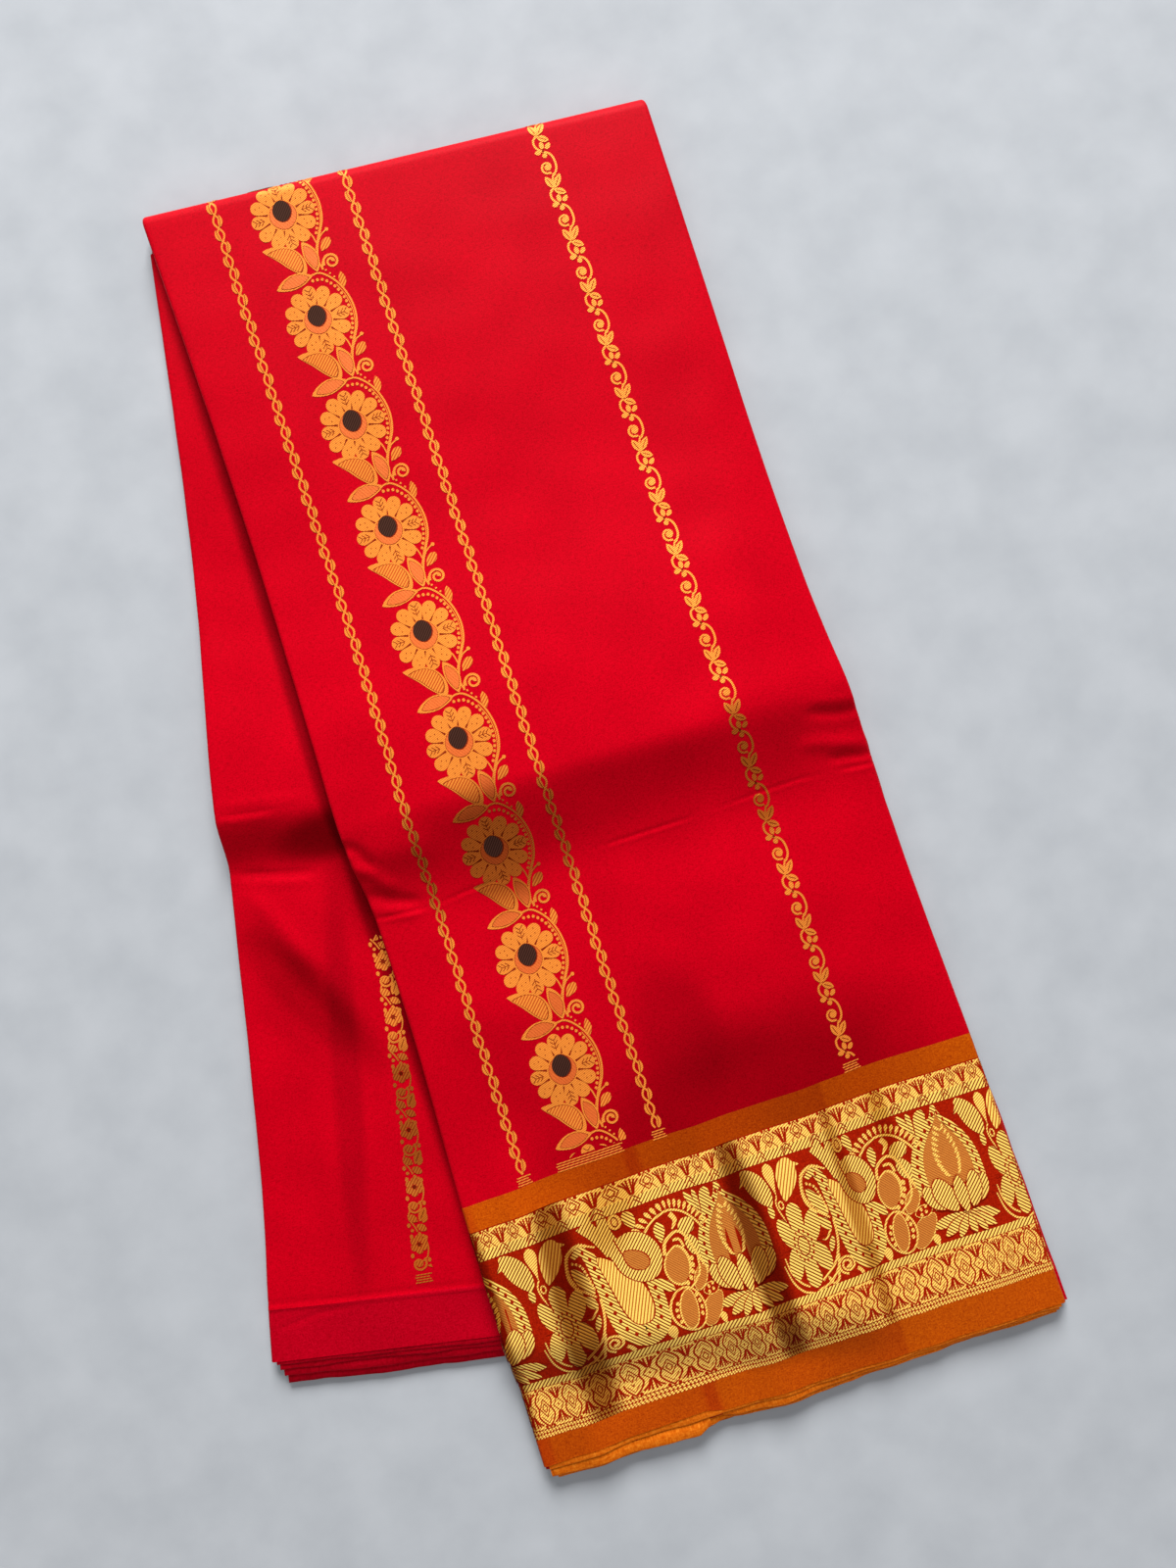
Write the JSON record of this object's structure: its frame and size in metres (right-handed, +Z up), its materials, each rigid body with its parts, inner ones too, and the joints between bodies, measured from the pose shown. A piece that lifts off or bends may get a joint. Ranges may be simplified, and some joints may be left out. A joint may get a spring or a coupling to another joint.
{
  "type": "pattu pavadai",
  "caption": "Red silk skirt length with a gold zari border, pleated into a flat strip and folded once across, lying flat with its lower half swung out.",
  "frame": {"origin": "centre of the footprint, on the surface that the folded cloth lies on", "axes": "+Y runs up the top half from the border to the fold, +X to the right across it, +Z up from the surface"},
  "size_m": [0.3572, 0.6218, 0.0284],
  "materials": {
    "front_silk": "red silk taffeta, soft sheen, copper-gold brocade stripes",
    "upper_strip_silk": "orange shot silk, soft sheen",
    "zari": "gold metallic thread brocade on deep red, twill",
    "lower_strip_silk": "orange shot silk, soft sheen",
    "back_silk": "red silk taffeta, soft sheen",
    "waist_silk": "plain red silk, matt sheen",
    "inner_silk": "folded plies of red and orange silk"
  },
  "bodies": {
    "root": {"front_panel": "front_silk", "border_upper_strip": "upper_strip_silk", "border_zari_band": "zari", "border_lower_strip": "lower_strip_silk", "back_panel": "back_silk", "waist_band": "waist_silk", "inner_layers": "inner_silk"}
  },
  "joints": []
}
